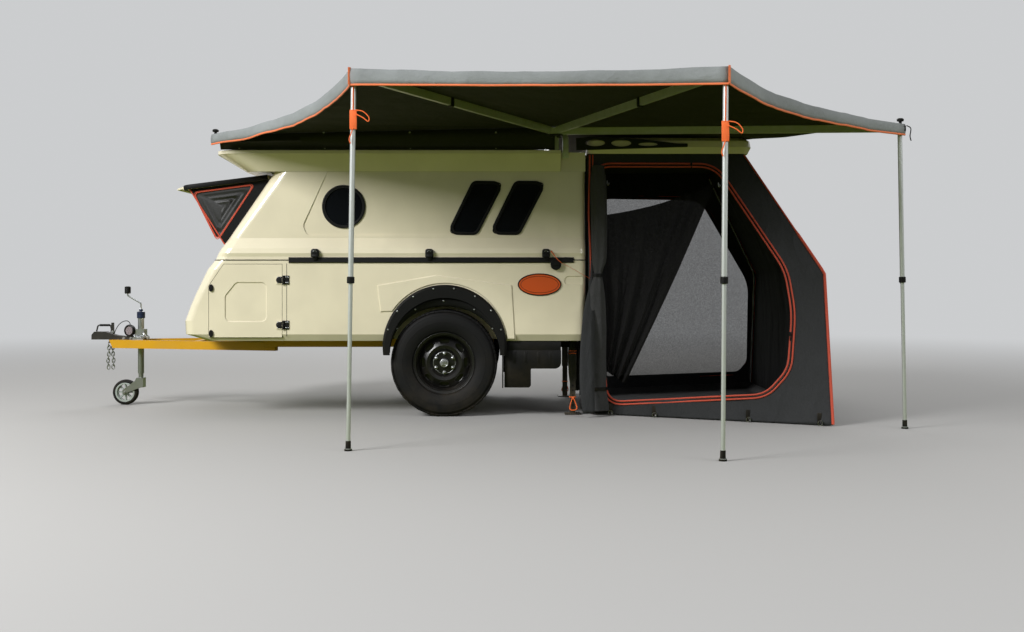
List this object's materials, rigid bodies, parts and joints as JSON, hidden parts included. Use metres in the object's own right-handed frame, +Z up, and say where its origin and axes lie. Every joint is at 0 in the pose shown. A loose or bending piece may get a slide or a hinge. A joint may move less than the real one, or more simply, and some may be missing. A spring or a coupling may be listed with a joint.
{
  "type": "off-road camper trailer",
  "caption": "Compact hard-shell camper trailer on two wheels, set up with a fan awning, an open front bed hatch and a fabric room hung from its raised rear hatch.",
  "frame": {"origin": "centre of the towing ball's socket in the coupling head", "axes": "+X to the rear along the trailer, +Y to its right side, +Z up"},
  "size_m": [6.001, 4.6398, 2.232],
  "materials": {
    "shell_cream": "moulded gelcoat, glossy cream",
    "chassis_yellow": "ochre enamel",
    "black_steel": "satin black paint",
    "zinc_steel": "zinc plated",
    "tyre_rubber": "black rubber",
    "soft_rubber": "black rubber",
    "black_plastic": "moulded black plastic",
    "window_tint": "dark tinted pane",
    "canopy_cloth": "grey coated canvas",
    "room_cloth": "charcoal canvas",
    "mesh_cloth": "black insect mesh",
    "bed_cloth": "quilted mattress cover",
    "cabinet_board": "laminated board",
    "pole_aluminium": "drawn aluminium",
    "lamp_red": "red lens",
    "plate_orange": "plain enamel plate"
  },
  "bodies": {
    "trailer": {"drawbar": "chassis_yellow", "chassis_frame": "chassis_yellow", "coupling_head": "black_steel", "coupling_lever": "black_steel", "safety_chain": "zinc_steel", "jockey_clamp": "zinc_steel", "jockey_tube": "zinc_steel", "jockey_crank": "zinc_steel", "trailing_arms": "black_steel", "springs": "soft_rubber", "lower_tub": "shell_cream", "hinge_posts": "black_plastic", "arch_flares": "black_plastic", "mudflaps": "soft_rubber", "water_tank": "black_plastic", "upper_shell": "shell_cream", "window_frames": "black_plastic", "window_glass": "window_tint", "roof": "shell_cream", "seam_band": "soft_rubber", "seam_latches": "black_plastic", "front_hatch_hinges": "black_steel", "front_gussets": "room_cloth", "hatch_screen": "mesh_cloth", "rear_hinge": "black_steel", "bed_deck": "cabinet_board", "mattress": "bed_cloth", "galley": "cabinet_board", "oval_plates": "plate_orange", "tail_lamps": "lamp_red", "nose_handle": "black_plastic", "steady_legs": "black_steel", "awning_bag": "canopy_cloth", "awning_arms": "pole_aluminium", "awning_poles": "pole_aluminium", "awning_canopy": "canopy_cloth", "awning_valance": "canopy_cloth", "annex": "room_cloth", "annex_net": "mesh_cloth", "annex_poles": "pole_aluminium"},
    "wheel_left": {"tyre_left": "tyre_rubber", "rim_left": "black_steel", "hub_left": "black_steel"},
    "wheel_right": {"tyre_right": "tyre_rubber", "rim_right": "black_steel", "hub_right": "black_steel"},
    "locker_door_left": {"locker_door_left": "shell_cream"},
    "locker_door_right": {"locker_door_right": "shell_cream"},
    "front_hatch": {"front_hatch": "shell_cream"},
    "rear_hatch": {"rear_hatch": "shell_cream", "hatch_arms": "black_steel"},
    "jockey_fork": {"jockey_fork": "zinc_steel"},
    "jockey_wheel": {"jockey_rim": "black_plastic", "jockey_tyre": "soft_rubber"}
  },
  "joints": [
    {"name": "wheel_left_spin", "type": "hinge", "parent": "trailer", "child": "wheel_left", "pos_m": [2.8, -0.76, -0.152], "axis": [0, 1, 0], "continuous": true},
    {"name": "wheel_right_spin", "type": "hinge", "parent": "trailer", "child": "wheel_right", "pos_m": [2.8, 0.76, -0.152], "axis": [0, 1, 0], "continuous": true},
    {"name": "locker_door_left_hinge", "type": "hinge", "parent": "trailer", "child": "locker_door_left", "pos_m": [1.637, -0.91, 0.292], "axis": [0, 0, 1], "range_deg": [0, 110]},
    {"name": "locker_door_right_hinge", "type": "hinge", "parent": "trailer", "child": "locker_door_right", "pos_m": [1.637, 0.91, 0.292], "axis": [0, 0, -1], "range_deg": [0, 110]},
    {"name": "front_hatch_hinge", "type": "hinge", "parent": "trailer", "child": "front_hatch", "pos_m": [1.50367, 0, 1.22226], "axis": [0, -1, 0], "range_deg": [0, 49], "deforming": ["front_gussets"]},
    {"name": "rear_hatch_hinge", "type": "hinge", "parent": "trailer", "child": "rear_hatch", "pos_m": [3.836, 0, 1.375], "axis": [0, 1, 0], "range_deg": [0, 90], "deforming": ["annex", "annex_net", "annex_poles"]},
    {"name": "jockey_swivel", "type": "hinge", "parent": "trailer", "child": "jockey_fork", "pos_m": [0.342, 0, -0.34], "axis": [0, 0, 1], "continuous": true},
    {"name": "jockey_wheel_spin", "type": "hinge", "parent": "jockey_fork", "child": "jockey_wheel", "pos_m": [0.222, 0, -0.44], "axis": [0, 1, 0], "continuous": true}
  ]
}
